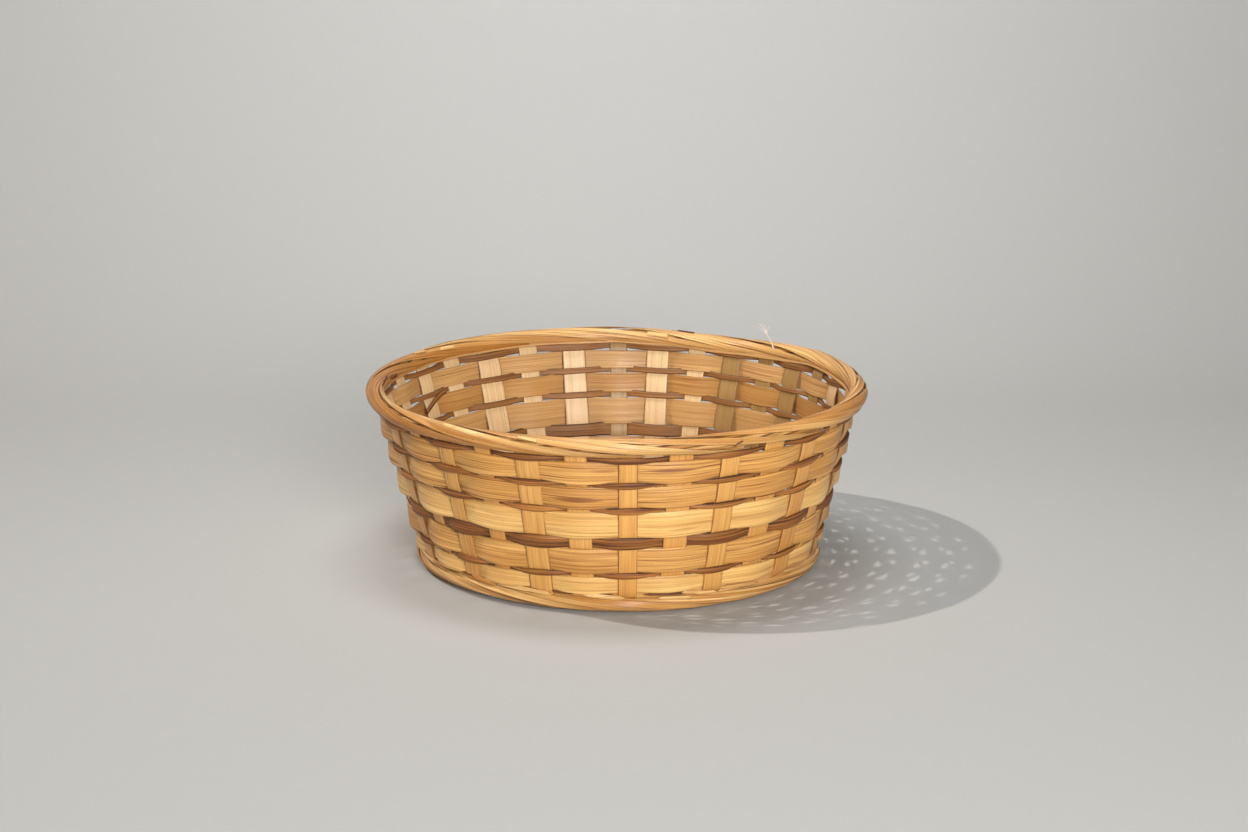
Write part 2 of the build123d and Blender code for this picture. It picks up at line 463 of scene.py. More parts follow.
def bamboo(name, pale, warm, streak, pith, grain=1.0, hairlines=0.5, rough=0.44, coat=0.12,
           edge_dark=0.4, edge_from=0.9, mark_at=0.0):
    """Split bamboo cane: satin skin with fibre streaks that run lengthwise.

    Fibre bundles are drawn about 1 mm wide and 70 mm long, finer grain 0.4 mm
    wide.  The pith side, inside the basket, is paler and duller.
    """
    material = bpy.data.materials.new(name)
    material.use_nodes = True
    tree = material.node_tree
    tree.nodes.clear()
    uv = add(tree, "ShaderNodeUVMap", {"uv_map": "UVMap"})
    tint = add(tree, "ShaderNodeAttribute", {"attribute_name": "tint"})
    edge = add(tree, "ShaderNodeAttribute", {"attribute_name": "across"})
    skin = add(tree, "ShaderNodeAttribute", {"attribute_name": "skin"})
    shift = add(tree, MATH, "MULTIPLY", (tint.outputs["Fac"], 37.0))
    shift = add(tree, "ShaderNodeCombineXYZ", None, {"Z": shift})
    place = add(tree, VECTORS, "ADD", (uv, shift))

    # Noise stretched along the splint: length and width in millimetres.
    grains = []
    for along, across, detail, roughness, offset in (
        (70.0, 9.0, 1.0, 0.5, 0.0),
        (70.0, 1.0, 3.0, 0.65, 2.3),
        (34.0, 0.4, 1.0, 0.5, 5.1),
        (64.0, 1.0, 2.0, 0.55, 8.7),
        (1.6, 0.8, 2.0, 0.6, 11.9),
        (28.0, 30.0, 1.0, 0.5, 17.3),
    ):
        at = add(tree, "ShaderNodeMapping", None, {
            "Vector": place, "Location": (offset, offset * 1.7, offset * 2.3),
            "Scale": (100.0 / along, 100.0 / across, 1.0)})
        grain_noise = add(tree, NOISE, None, {
            "Vector": at, "Scale": 1.0, "Detail": detail, "Roughness": roughness})
        grains.append(grain_noise.outputs[0])
    broad, bundle, fine, hair, pore, patch = grains

    # Each splint is paler or warmer by its tint, and varies along its length.
    lean = add(tree, RANGE, None, (broad, 0.3, 0.7, 0.1, 0.9))
    lean = add(tree, MATH, {"operation": "ADD", "use_clamp": True}, (lean, tint.outputs["Fac"]))
    base = add(tree, MIX, {"data_type": "RGBA"}, {0: lean, 6: linear(pale), 7: linear(warm)})
    inner = add(tree, RANGE, None, (skin.outputs["Fac"], -0.3, 0.3, 0.75, 0.0))
    base = add(tree, MIX, {"data_type": "RGBA"}, {0: inner, 6: base.outputs[2], 7: linear(pith)})
    # Light and dark bundles lie side by side.
    light = add(tree, RANGE, None, (bundle, 0.34, 0.66, 1.0 - 0.30 * grain, 1.0 + 0.22 * grain))
    lightness = add(tree, RANGE, None, (fine, 0.3, 0.7, 1.0 - 0.14 * grain, 1.0 + 0.12 * grain))
    both = add(tree, MATH, "MULTIPLY", (light, lightness))
    softer = add(tree, RANGE, None, (skin.outputs["Fac"], -0.3, 0.3, 0.6, 1.0))
    both = add(tree, MATH, "POWER", (both, softer))
    # Darker bundles are redder: red falls least, blue most.
    red = add(tree, MATH, "POWER", (both, 0.75))
    blue = add(tree, MATH, "POWER", (both, 1.35))
    gain = add(tree, "ShaderNodeCombineXYZ", None, {"X": red, "Y": both, "Z": blue})
    tone = add(tree, VECTORS, "MULTIPLY", (base.outputs[2], gain))
    # Hairlines: the few bundles that show brown.
    mask = add(tree, RANGE, {"interpolation_type": "SMOOTHSTEP"},
               (hair, 0.57, 0.70, 0.0, hairlines))
    shown = add(tree, MATH, "MULTIPLY", (mask, softer))
    tone = add(tree, MIX, {"data_type": "RGBA"}, {0: shown, 6: tone, 7: linear(streak)})
    speck = add(tree, RANGE, None, (pore, 0.6, 0.8, 0.0, 0.3))
    tone = add(tree, MIX, {"data_type": "RGBA"}, {0: speck, 6: tone.outputs[2], 7: linear(streak)})
    # A brown smear from each splint's mark: a real bruise on the wide weavers, painted shade where
    # smoked canes pass behind the bands and in gaps between rim strands.
    bruise_and_shade = add(tree, "ShaderNodeAttribute", {"attribute_name": "mark"})
    ragged = add(tree, MATH, "MULTIPLY_ADD", (fine, 0.25, edge.outputs["Fac"]))
    away = add(tree, MATH, "SUBTRACT", (ragged, mark_at + 0.125))
    away = add(tree, MATH, "ABSOLUTE", (away,))
    reach = add(tree, MATH, "MULTIPLY", (bruise_and_shade.outputs["Fac"], 0.24))
    near = add(tree, MATH, "SUBTRACT", (reach, away))
    near = add(tree, RANGE, {"interpolation_type": "SMOOTHSTEP"},
               (near.outputs[0], -0.03, 0.08, 0.0, 0.85))
    near = add(tree, MATH, "MULTIPLY", (near, bruise_and_shade.outputs["Fac"]))
    tone = add(tree, MIX, {"data_type": "RGBA"}, {0: near, 6: tone.outputs[2], 7: linear(streak)})
    # Painted shade: each splint darkens towards its two edges, in patches, for the shadow lines
    # where splints meet.
    border = add(tree, MATH, "ABSOLUTE", (edge.outputs["Fac"],))
    border = add(tree, RANGE, {"interpolation_type": "SMOOTHSTEP"},
                 (border.outputs[0], edge_from, 0.97, 0.0, edge_dark))
    patchy = add(tree, RANGE, None, (patch, 0.38, 0.55, 0.35, 1.0))
    border = add(tree, MATH, "MULTIPLY", (border, patchy))
    tone = add(tree, MIX, {"data_type": "RGBA"},
               {0: border, 6: tone.outputs[2], 7: linear("#4A2A12")})

    dull = add(tree, RANGE, None, (bundle, 0.3, 0.7, rough + 0.12, rough - 0.06))
    height = add(tree, MATH, "MULTIPLY_ADD", (mask, -0.5, bundle))
    relief = add(tree, "ShaderNodeBump", None, {"Height": height, "Strength": 0.5,
                                                "Distance": 0.00022})
    shader = add(tree, "ShaderNodeBsdfPrincipled", None, {
        "Base Color": tone.outputs[2], "Roughness": dull.outputs[0], "Normal": relief.outputs[0],
        "IOR": 1.5, "Coat Weight": coat, "Coat Roughness": 0.25})
    add(tree, "ShaderNodeOutputMaterial", None, {"Surface": shader})
    return material


WARM_SKIN = ("#DCA75D", "#C68A42", "#844A20")
PALE_SKIN = ("#EABD74", "#DCA65C", "#A96E33")

# Split bamboo skin, second band from the foot: honey brown, clear grain, satin.
WEAVER_CANE = bamboo("bamboo_skin_warm_split", *WARM_SKIN, "#C89B66", 1.25, 0.8, edge_dark=0.35)
# The same cane, fourth band: full brown hairlines and two bruises.
STREAKED_CANE = bamboo("bamboo_skin_streaked_split", *WARM_SKIN, "#BC8D53", 1.2, 1.0,
                       edge_dark=0.35, mark_at=-0.12)
# The same cane, under the rim: the strongest grain, with a light inner face.
RIM_ROW_CANE = bamboo("bamboo_skin_amber_split", *WARM_SKIN, "#D2A872", 1.3, 0.95,
                      edge_dark=0.35, mark_at=0.2)
# Split from nearer the pith, the foot band: straw yellow with a quiet grain.
PALE_CANE = bamboo("bamboo_skin_pale_split", *PALE_SKIN, "#CDA26C", 0.95, 0.5, edge_dark=0.3)
# The same, for the band at mid height: the brightest one, bruised on its lower edge.
CREAM_CANE = bamboo("bamboo_skin_cream_split", *PALE_SKIN, "#C99D68", 0.95, 0.5,
                    edge_dark=0.3, mark_at=-0.42)
# Planed stake: even and smooth, a cream pith side inside, with strong painted shade along its
# edges.
STAKE_CANE = bamboo("bamboo_stake_planed", "#DDA55A", "#D09248", "#9F642C", "#EDD0A4", 0.6, 0.45,
                    edge_dark=0.8, edge_from=0.88)
# Cut while still green: the same smooth stake, but a dull olive brown.
OLIVE_CANE = bamboo("bamboo_stake_green_grown", "#C69B60", "#A77D45", "#75592E", "#A0804E",
                    0.6, 0.4, edge_dark=0.4)
# Thin strand: light back, and painted shade darkens its edges brown, so each one reads.
ROLL_CANE = bamboo("bamboo_strand_polished", "#E8BA78", "#C0843F", "#6E3A15", "#D6AA70",
                   0.85, 0.55, rough=0.46, coat=0.06, edge_dark=0.65, edge_from=0.84)
# Smoked right through: dry, unpolished, mottled from rust to near black; its dark outlines are
# painted shade.
SMOKED_CANE = bamboo("bamboo_smoked_brown", "#B07030", "#7B4819", "#301705", "#96693C", 2.3, 0.8,
                     rough=0.58, coat=0.0, edge_dark=0.9, edge_from=0.66)
# Bare fibre torn from a splint: nearly white, with no gloss.
FIBRE_CANE = bamboo("bamboo_frayed_fibre", "#F2E9DA", "#E9DCC8", "#D9C3A0", "#F2E9DA", 0.3, 0.1,
                    rough=0.6, coat=0.0, edge_dark=0.0)
# Floor splint: skin upwards, a shade duller than the wall.
MAT_CANE = bamboo("bamboo_floor_splint", "#D4A05C", "#C18844", "#8B5725", "#C7975E", 0.9, 0.45,
                  edge_dark=0.5)


# ---------------------------------------------------------------- wall

# Where a wide weaver is bruised: stake numbers and strength, by row.
BRUISES = ((), (), ((0.78, 1.56, 0.55),), ((-1.66, -0.4, 1.0), (0.5, 1.1, 0.3)),
           ((-0.8, -0.1, 0.6), (0.25, 1.45, 0.75)))
BAND_TINTS = (-0.05, 0.05, -0.05, 0.1, 0.05)
BAND_FINISHES = (PALE_CANE, WEAVER_CANE, CREAM_CANE, STREAKED_CANE, RIM_ROW_CANE)
# Between two wide weavers: height, gap over an inner stake, and how much
# wider than that, on each side, it is over an outer stake.
WIDE_GAPS = ((10.3, 2.6, 0.3), (dark_z[0], 2.3, 0.4), (dark_z[1], 6.0, 0.35),
             (dark_z[2], 2.0, 0.7), (dark_z[3], 1.6, 0.9), (dark_z[4], 2.0, 0.7))


# Smoked canes, by row: height over an outer stake and where it dips inside,
# how much more of it shows where the rows are packed, and the tint.
DARK_TALLS = ((3.2, 2.2), (6.9, 5.6), (3.4, 2.1), (3.5, 2.0), (3.5, 2.1))
DARK_PACKED = (1.0, 0.95, 1.0, 1.0, 1.1)
DARK_TINTS = (0.0, 0.1, -0.1, 0.05, 0.1)
DARK_SHARPNESS = 1.35    # how sharply a smoked cane swings from side to side
TOP_ROW = 4


def ring_numbers_fine(steps):
    """Stake numbers once round, in so many steps to a stake."""
    return np.linspace(0, STAKES, STAKES * steps + 1)


def close_ring(path):
    path["closed"] = True
    return path


def wide_weaver(row, rng):
    """A band that bows out over the inner stakes and dips behind the outer."""
    low_gap, high_gap = WIDE_GAPS[row], WIDE_GAPS[row + 1]
    low = low_gap[0] + (low_gap[1] / 2 if row else 0.0)
    high = high_gap[0] - high_gap[1] / 2
    n = ring_numbers_fine(20)
    angle = angle_of(n)
    bow = 0.5 - 0.5 * np.cos(math.pi * n)
    loose = 0.75 * slit(angle) * np.sin(math.pi * n) ** 2
    easing = (1 - bow) ** 1.4 * (1 - 0.65 * packed(angle))
    low_edge = low + low_gap[2] * easing + loose + ring_wander(rng, n, 48, 0.12)
    high_edge = high - high_gap[2] * easing - loose + ring_wander(rng, n, 48, 0.12)
    if row:
        low_edge = low_edge + row_rise(row - 1, angle)
    high_edge = high_edge + row_rise(row, angle)
    if row == TOP_ROW:
        high_edge = high_edge - 1.0 * bump(angle, 158, 48)
    middle = (low_edge + high_edge) / 2
    lift = -0.75 + 2.35 * bow ** 0.85 + ring_wander(rng, n, 32, 0.16) * bow
    lean = 0.16 - 0.11 * bow + ring_wander(rng, n, 32, 0.02)
    radius = wall(middle, angle) + lift
    r = outward(angle)
    at = r * radius[:, None] + UP * middle[:, None]
    side = unit(r * lean[:, None] + UP)
    out = unit(r - UP * lean[:, None])
    mark = np.zeros(len(n))
    for first, last, strength in BRUISES[row]:
        share = ((n - first) % STAKES) / (last - first)
        mark += strength * np.where(share < 1, np.sin(math.pi * np.clip(share, 0, 1)) ** 0.6, 0)
    return close_ring({"at": at, "out": out, "side": side, "wide": high_edge - low_edge,
                       "mark": mark, "thick": 0.8, "start": rng.uniform(0, 400),
                       "tint": BAND_TINTS[row]})


def dark_weaver(row, rng):
    """A narrow smoked cane: over the outer stakes, then through to the inside."""
    low, high = dark_rows[row]
    # The joint lies behind an inner stake.
    n = ring_numbers_fine(20) + 1
    angle = angle_of(n)
    beat = np.cos(math.pi * n)
    swing = np.tanh(DARK_SHARPNESS * beat) / math.tanh(DARK_SHARPNESS)
    over, under = np.clip(beat, 0, 1), np.clip(-beat, 0, 1)
    full, neck = DARK_TALLS[row]
    neck = neck + DARK_PACKED[row] * packed(angle)
    if row == TOP_ROW:
        neck = neck + 1.3 * bump(angle, 155, 48)
    tall = neck + (full - neck) * over ** 1.1 - 0.35 * under * (1 - packed(angle))
    tall = tall * (1 + ring_wander(rng, n, 40, 0.05)) + 0.35 * packed(angle)
    # It rides low on one side of a stake and high on the other, which leaves
    # a wedge-shaped slit at each crossing.
    middle = (low + high) / 2 + row_rise(row, angle) + 0.45 * packed(angle) + ring_wander(rng, n,
                                                                                          32, 0.1)
    middle = middle + (0.6 * slit(angle) + ring_wander(rng, n, 24, 0.1)) * np.sin(math.pi * n)
    radius = wall(middle, angle) + 1.5 * swing + 0.1 * over
    r = outward(angle)
    tilt = 0.2 + ring_wander(rng, n, 32, 0.07)
    at = r * radius[:, None] + UP * middle[:, None]
    side = unit(r * tilt[:, None] + UP)
    out = unit(r - UP * tilt[:, None])
    thick = 1.2 + 0.25 * over
    # Painted shade: where the cane passes behind the bands its middle is darkened, less where the
    # rows are packed.
    hidden_shade = 1.3 * under * (1 - packed(angle))
    return close_ring({"at": at, "out": out, "side": side, "wide": tall, "thick": thick,
                       "mark": hidden_shade,
                       "start": rng.uniform(0, 400), "tint": DARK_TINTS[row]})


# Stakes split wider or narrower than the rest, or of another colour, by number.
STAKE_WIDTH = 10.6
STAKE_WIDTHS = {0: 9.0, 1: 12.2, 2: 10.2, 3: 12.6, 4: 11.6, 5: 10.0, 15: 12.2, 17: 13.0, 18: 11.0,
                19: 14.0, 21: 11.5, 27: 9.0, 28: 9.8, 29: 9.2, 30: 11.8, 31: 11.2}
GREEN_STAKES = (13, 12, 11, 10, 16)
STAKE_TINTS = {15: -0.7, 17: -0.7, 19: -0.7, 21: -0.5, 0: 0.0, 30: -0.45, 2: -0.3}


def wall_stake(number, rng):
    """An upright splint that follows the bands it lies on."""
    outer = number % 2 == 0
    z = np.linspace(7.5, RIM_Z - 1.5, 60)
    gather = sum(np.exp(-((z - d) / 3.6) ** 2) for d in dark_z)
    lift = 0.72 - 0.5 * gather if outer else -0.95 + 0.55 * gather
    lift = lift + wander(rng, z, 25.0, 0.08)
    # Both ends turn in towards the middle of their roll.
    lift = lift - 1.6 * np.clip((10.5 - z) / 3.0, 0, 1) + 1.0 * np.clip((z - 81.0) / 4.0, 0, 1)
    base = STAKE_WIDTHS.get(number, STAKE_WIDTH + rng.uniform(-1.2, 1.2))
    wide = base + wander(rng, z, 20.0, 0.12)
    drift = wander(rng, z, 40.0, 0.25)
    angle = np.full(len(z), angle_of(number))
    r, t = outward(angle), forward(angle)
    at = r * (wall(z, angle) + lift)[:, None] + t * drift[:, None] + UP * z[:, None]
    along = unit(np.gradient(at, axis=0))
    side = unit(t)
    out = unit(np.cross(side, along))
    out = np.where((out * r).sum(-1, keepdims=True) < 0, -out, out)
    return {"at": at, "out": out, "side": side, "wide": wide, "thick": 0.85,
            "start": rng.uniform(0, 400), "tint": STAKE_TINTS.get(number, rng.uniform(-0.3, 0.15))}


for row in range(ROWS):
    rng = np.random.default_rng(SEED + 10 + row)
    band = lay_splints("wide_weaver_cane_%d" % (row + 1), [wide_weaver(row, rng)],
                       BAND_FINISHES[row],
                       sides=20, squareness=0.42, crown=0.3, ripple=0.3, ripple_length=16.0,
                       seed=row)
    settle(band, "wide_weavers", "wide_weaver_%d" % (row + 1))
    rng = np.random.default_rng(SEED + 20 + row)
    cane = lay_splints("dark_weaver_cane_%d" % (row + 1), [dark_weaver(row, rng)], SMOKED_CANE,
                       sides=14, squareness=0.6, crown=0.1, ripple=0.3, ripple_length=9.0,
                       seed=row + 7)
    settle(cane, "dark_weavers", "dark_weaver_%d" % (row + 1))

for number in range(STAKES):
    rng = np.random.default_rng(SEED + 100 + number)
    finish = OLIVE_CANE if number in GREEN_STAKES else STAKE_CANE
    side = "outer" if number % 2 == 0 else "inner"
    strap = lay_splints("%s_stake_cane_%02d" % (side, number // 2 + 1), [wall_stake(number, rng)],
                        finish,
                        sides=12, squareness=0.4, crown=0.12, ripple=0.15, ripple_length=7.0,
                        seed=number)
    settle(strap, "stakes", stake_node(number))


# ---------------------------------------------------------------- rolls

def rolled_strand(rng, start, length, first, last, middle, half_wide, half_tall, wide, thick, lift,
                  swell, floor, tone):
    """One thin strand that winds a part of a turn round a rolled border."""
    t = np.linspace(0, 1, 76)
    run = start + t * length
    angle = np.degrees(run / middle[0])
    uneven = 0.035 * np.sin(2 * math.pi * t + rng.uniform(0, 6.3))
    turn = np.radians(first + (last - first) * (t + uneven))
    puff = wander(rng, run, 22.0, 0.05) + rng.uniform(-0.05, 0.05)
    radius = middle[0] + swell(angle) + (half_wide + puff) * np.cos(turn)
    height = middle[1] + lift(angle) + (half_tall + puff) * np.sin(turn)
    if floor is not None:
        height = np.maximum(height, floor)
    r = outward(angle)
    at = r * radius[:, None] + UP * height[:, None]
    out = unit(r * (np.cos(turn) * half_tall)[:, None] + UP * (np.sin(turn) * half_wide)[:, None])
    along = unit(np.gradient(at, axis=0))
    side = unit(np.cross(along, out))
    # Each strand laps a little over the one before it.
    lap = math.radians(4.5) + rng.uniform(-0.03, 0.03)
    out, side = (out * math.cos(lap) + side * math.sin(lap),
                 side * math.cos(lap) - out * math.sin(lap))
    taper = np.clip(np.minimum(t / 0.06, (1 - t) / 0.06), 0.35, 1)
    # Painted shade: the deep gaps between the strands at the two ends of the rim are darkened.
    gap_shade = 0.95 * bump(angle, 270, 20) + 0.7 * bump(angle, 96, 20)
    if floor is not None:
        gap_shade = 0.3 * gap_shade
    return {"at": at, "out": out, "side": side,
            "wide": wide * taper * (1 + rng.uniform(-0.12, 0.12)),
            "thick": thick, "start": rng.uniform(0, 900),
            "tint": rng.uniform(-0.2, 0.2) + tone(angle[len(t) // 2]), "mark": gap_shade}


def lay_roll(label, strands, groups, seed, slot, node):
    """Lays a roll's strands as a few pieces; the first stands for its node."""
    share = len(strands) // groups
    for group in range(groups):
        part = strands[group * share:(group + 1) * share]
        roll = lay_splints(label % (group + 1), part, ROLL_CANE, sides=12, squareness=0.38,
                           crown=0.05, ripple=0.15, ripple_length=9.0, seed=seed + group)
        settle(roll, slot, *([node] if group == 0 else []))


RIM_STRANDS = 36
FOOT_STRANDS = 24
STRAND_THICK = 0.5
FOOT_CLEAR = 0.5         # no strand of the foot comes nearer to the table


def rim_tone(angle):
    """Paler pith shows along the back; darker and warmer to the right and, most, to the left."""
    return -0.45 * bump(angle, 175, 55) + 0.55 * bump(angle, 50, 40) + 0.8 * bump(angle, 270, 24)


rim_middle = (RIM_RADIUS - RIM_WIDE / 2, RIM_Z)
rim_round = 2 * math.pi * rim_middle[0]
rng = np.random.default_rng(SEED + 300)
strands = []
for k in range(RIM_STRANDS):
    start = rim_round * (k + rng.uniform(-0.15, 0.15)) / RIM_STRANDS
    strands.append(rolled_strand(
        rng, start, 225 + rng.uniform(-25, 25), 236, -66, rim_middle, RIM_WIDE / 2 - 0.3,
        RIM_TALL / 2 - 0.25, 2.9, STRAND_THICK, rim_lift, rim_swell, None, rim_tone))
lay_roll("rim_strands_%02d", strands, 4, 0, "rim_splints", "rim_roll")


def foot_tone(angle):
    return -0.05 * bump(angle, 10, 60)


foot_middle = (FOOT_RADIUS - FOOT_WIDE / 2, FOOT_TALL / 2 - 1.0)
foot_round = 2 * math.pi * foot_middle[0]
rng = np.random.default_rng(SEED + 400)
strands = []
for k in range(FOOT_STRANDS):
    start = foot_round * (k + rng.uniform(-0.2, 0.2)) / FOOT_STRANDS
    strands.append(rolled_strand(
        rng, start, 205 + rng.uniform(-20, 20), 200, -95, foot_middle, FOOT_WIDE / 2 - 0.3,
        FOOT_TALL / 2 - 1.2, 3.3, STRAND_THICK, foot_lift, no_swell, FOOT_CLEAR, foot_tone))
lay_roll("foot_strands_%d", strands, 3, 30, "foot_splints", "foot_roll")


def core_path(middle, strand, count, size, turns, lift, swell, rng):
    """A filler strand that runs all the way round inside a roll."""
    t = np.linspace(0, 1, 241)
    angle = 360 * t
    turn = 2 * math.pi * (turns * t + strand / count)
    r = outward(angle)
    radius = middle[0] + swell(angle) + size * np.cos(turn)
    at = r * radius[:, None] + UP * (middle[1] + lift(angle) + size * np.sin(turn))[:, None]
    out = unit(r * np.cos(turn)[:, None] + UP * np.sin(turn)[:, None])
    along = unit(np.gradient(at, axis=0))
    along[0] = along[-1] = unit(along[0] + along[-1])
    side = unit(np.cross(along, out))
    return close_ring({"at": at, "out": out, "side": side, "wide": 2.6,
                       "thick": 1.8, "start": rng.uniform(0, 400), "tint": rng.uniform(0.1, 0.4)})


rng = np.random.default_rng(SEED + 500)
for name, middle, count, size, turns, lift, swell, slot in (
    ("rim_filler_strands", rim_middle, 5, 2.1, 6, rim_lift, rim_swell, "rim_splints"),
    ("foot_filler_strands", foot_middle, 4, 1.2, 5, foot_lift, no_swell, "foot_splints"),
):
    paths = [core_path(middle, k, count, size, turns, lift, swell, rng) for k in range(count)]
    settle(lay_splints(name, paths, ROLL_CANE, sides=8, squareness=0.8), slot)


def liner_path(height, tall, inset, lift, rng):
    """A flat reed that closes the slit between a roll and the weave."""
    n = ring_numbers_fine(6)
    angle = angle_of(n)
    r = outward(angle)
    z = height + lift(angle) + ring_wander(rng, n, 40, 0.22)
    at = r * (wall(z, angle) - inset)[:, None] + UP * z[:, None]
    side = unit(r * LEAN + UP)
    out = unit(r - UP * LEAN)
    return close_ring({"at": at, "out": out, "side": side,
                       "wide": tall * (1 + ring_wander(rng, n, 24, 0.12)),
                       "thick": 0.9, "start": rng.uniform(0, 400), "tint": 0.2})


rng = np.random.default_rng(SEED + 550)
reed = lay_splints("rim_liner_reed", [liner_path(83.2, 1.8, 2.0, rim_lift, rng)], ROLL_CANE,
                   sides=10)
settle(reed, "rim_splints")
reed = lay_splints("foot_liner_reed", [liner_path(8.6, 3.6, 0.5, foot_lift, rng)], ROLL_CANE,
                   sides=10)
settle(reed, "foot_splints")


def tucked_end(number, rng):
    """A stake end, bent over and tucked along the top of the foot roll."""
    t = np.linspace(0, 1, 26)
    ring = wall(11)
    reach = t * (19 + rng.uniform(-5, 5)) + rng.uniform(-2, 6)
    angle = np.degrees((ring * math.radians(float(angle_of(number))) + reach) / ring)
    height = 8.9 - 1.6 * t + rng.uniform(-0.5, 0.4) + foot_lift(angle)
    radius = wall(height, angle) + 1.15 + 0.3 * np.sin(math.pi * t) + rng.uniform(-0.1, 0.15)
    r = outward(angle)
    at = r * radius[:, None] + UP * height[:, None]
    out = r
    along = unit(np.gradient(at, axis=0))
    side = unit(np.cross(along, out))
    taper = np.clip(np.minimum(t, 1 - t) / 0.1, 0.4, 1)
    return {"at": at, "out": out, "side": side, "wide": (2.3 + rng.uniform(-0.6, 0.5)) * taper,
            "thick": 0.5, "start": rng.uniform(0, 400), "tint": rng.uniform(-0.5, 0.5)}


def foot_piece(points, wide, tint, proud=1.6):
    """A short piece showing at the foot through (stake number, height): a pale strip end, or a dark
    piece of painted shade in a gap.
    """
    n, z = through(points, 24)
    angle = angle_of(n)
    z = z + foot_lift(angle)
    r = outward(angle)
    height = np.clip((z - foot_lift(angle) - foot_middle[1]) / (FOOT_TALL / 2 - 1.1), -1, 1)
    roll = foot_middle[0] + (FOOT_WIDE / 2 - 0.2) * np.sqrt(1 - height ** 2) + 0.35
    at = r * np.maximum(wall(z) + proud, roll)[:, None] + UP * z[:, None]
    along = unit(np.gradient(at, axis=0))
    side = unit(np.cross(along, r))
    share = np.linspace(0, 1, len(n))
    taper = np.clip(np.minimum(share, 1 - share) / 0.12, 0.35, 1)
    return {"at": at, "out": unit(np.cross(side, along)), "side": side, "wide": wide * taper,
            "thick": 0.6, "start": 90.0 * wide, "tint": tint}


shown = lay_splints("foot_pale_ends", [
    foot_piece([(0.7, 6.9), (1.48, 6.1)], 1.8, -1.0),
    foot_piece([(1.54, 8.0), (2.08, 7.5)], 1.7, -1.0),
    foot_piece([(-0.9, 8.0), (-0.1, 7.4)], 1.3, -0.6),
    foot_piece([(-3.2, 8.2), (-2.3, 7.5)], 1.6, -0.5)],
    ROLL_CANE, sides=8, squareness=0.5, crown=0.1)
settle(shown, "foot_splints")
# Dark smoked pieces laid in the shadowed gaps above the foot are painted shade; the one from stake
# 2.26 to 2.78 is a real brown sliver.
shown = lay_splints("foot_gap_shade_and_sliver", [
    foot_piece([(-1.75, 8.9), (-1.2, 8.5)], 1.3, 0.6, 1.0),
    foot_piece([(0.38, 8.9), (1.35, 8.4)], 1.2, 0.7, 1.0),
    foot_piece([(2.26, 9.2), (2.78, 8.3)], 1.4, 0.1, 1.2),
    foot_piece([(-0.75, 8.9), (-0.3, 8.8)], 0.8, 0.6, 1.0),
    foot_piece([(-2.7, 9.1), (-2.1, 8.7)], 0.9, 0.6, 1.0),
    foot_piece([(-4.4, 9.2), (-3.5, 8.6)], 1.2, 0.6, 1.0),
    foot_piece([(-5.6, 10.5), (-4.8, 9.4)], 1.2, 0.6, 1.0)],
    SMOKED_CANE, sides=8, squareness=0.5, crown=0.1)
settle(shown, "foot_splints")

rng = np.random.default_rng(SEED + 600)
ends = lay_splints("tucked_stake_ends",
                   [tucked_end(number, rng) for number in range(STAKES) if number % 3],
                   ROLL_CANE, sides=8, squareness=0.5, crown=0.1)
settle(ends, "stakes")


# ---------------------------------------------------------------- floor mat

mat_low, mat_high = node_box("floor_splints_across")
MAT_Z = (mat_low[2] + mat_high[2]) / 2
MAT_SPLINTS = 8          # in each direction
MAT_REACH = 98.0         # the ends let into the foot lie on this radius
MAT_PITCH = 22.0         # from one splint to the next
MAT_TURN = 5.6           # the mat is turned by this many degrees
MAT_WIDTH = 10.4
MAT_SHARPNESS = 1.8      # how sharply a floor splint goes over and under


def mat_splint(index, crosswise, rng):
    """One floor splint, over and under the splints that cross it."""
    middle = (MAT_SPLINTS - 1) / 2
    place = (index - middle) * MAT_PITCH
    reach = math.sqrt(MAT_REACH ** 2 - (abs(place) + 5.5) ** 2)
    x = np.linspace(-reach, reach, 110)
    cell = x / MAT_PITCH + middle
    phase = index + (1 if crosswise else 0)
    wave = np.cos(math.pi * (cell + phase))
    z = MAT_Z + 0.55 * np.tanh(MAT_SHARPNESS * wave) / math.tanh(MAT_SHARPNESS)
    turn = math.radians(MAT_TURN)
    ex = np.array([math.cos(turn), math.sin(turn), 0])
    ey = np.array([-math.sin(turn), math.cos(turn), 0])
    if crosswise:
        ex, ey = ey, ex
    drift = wander(rng, x, 60.0, 0.35)
    at = ex * x[:, None] + ey * (place + drift)[:, None] + UP * z[:, None]
    along = unit(np.gradient(at, axis=0))
    side = np.broadcast_to(ey, at.shape).copy()
    out = unit(np.cross(along, side))
    out = np.where(out[:, 2:3] < 0, -out, out)
    return {"at": at, "out": out, "side": side, "wide": MAT_WIDTH + wander(rng, x, 30.0, 0.25),
            "thick": 0.85, "start": rng.uniform(0, 400), "tint": rng.uniform(-0.25, 0.25)}


rng = np.random.default_rng(SEED + 700)
for way, crosswise, seed in (("across", False, 3), ("along", True, 4)):
    paths = [mat_splint(k, crosswise, rng) for k in range(MAT_SPLINTS)]
    mat = lay_splints("floor_canes_" + way, paths, MAT_CANE, sides=12, squareness=0.4,
                      crown=0.1, ripple=0.2, ripple_length=9.0, seed=seed)
    settle(mat, "floor_mat", "floor_splints_" + way)


# ---------------------------------------------------------------- loose bits

def inside_strip(points, wide, thick, tint, count=24):
    """A short strip inside the wall through (stake number, height, depth)."""
    n, z, depth = through(points, count)
    angle = angle_of(n)
    at = outward(angle) * (wall(z) - depth)[:, None] + UP * z[:, None]
    along = unit(np.gradient(at, axis=0))
    out = -outward(angle)
    side = unit(np.cross(along, out))
    return {"at": at, "out": out, "side": side, "wide": wide, "thick": thick,
            "start": 30.0, "tint": tint}


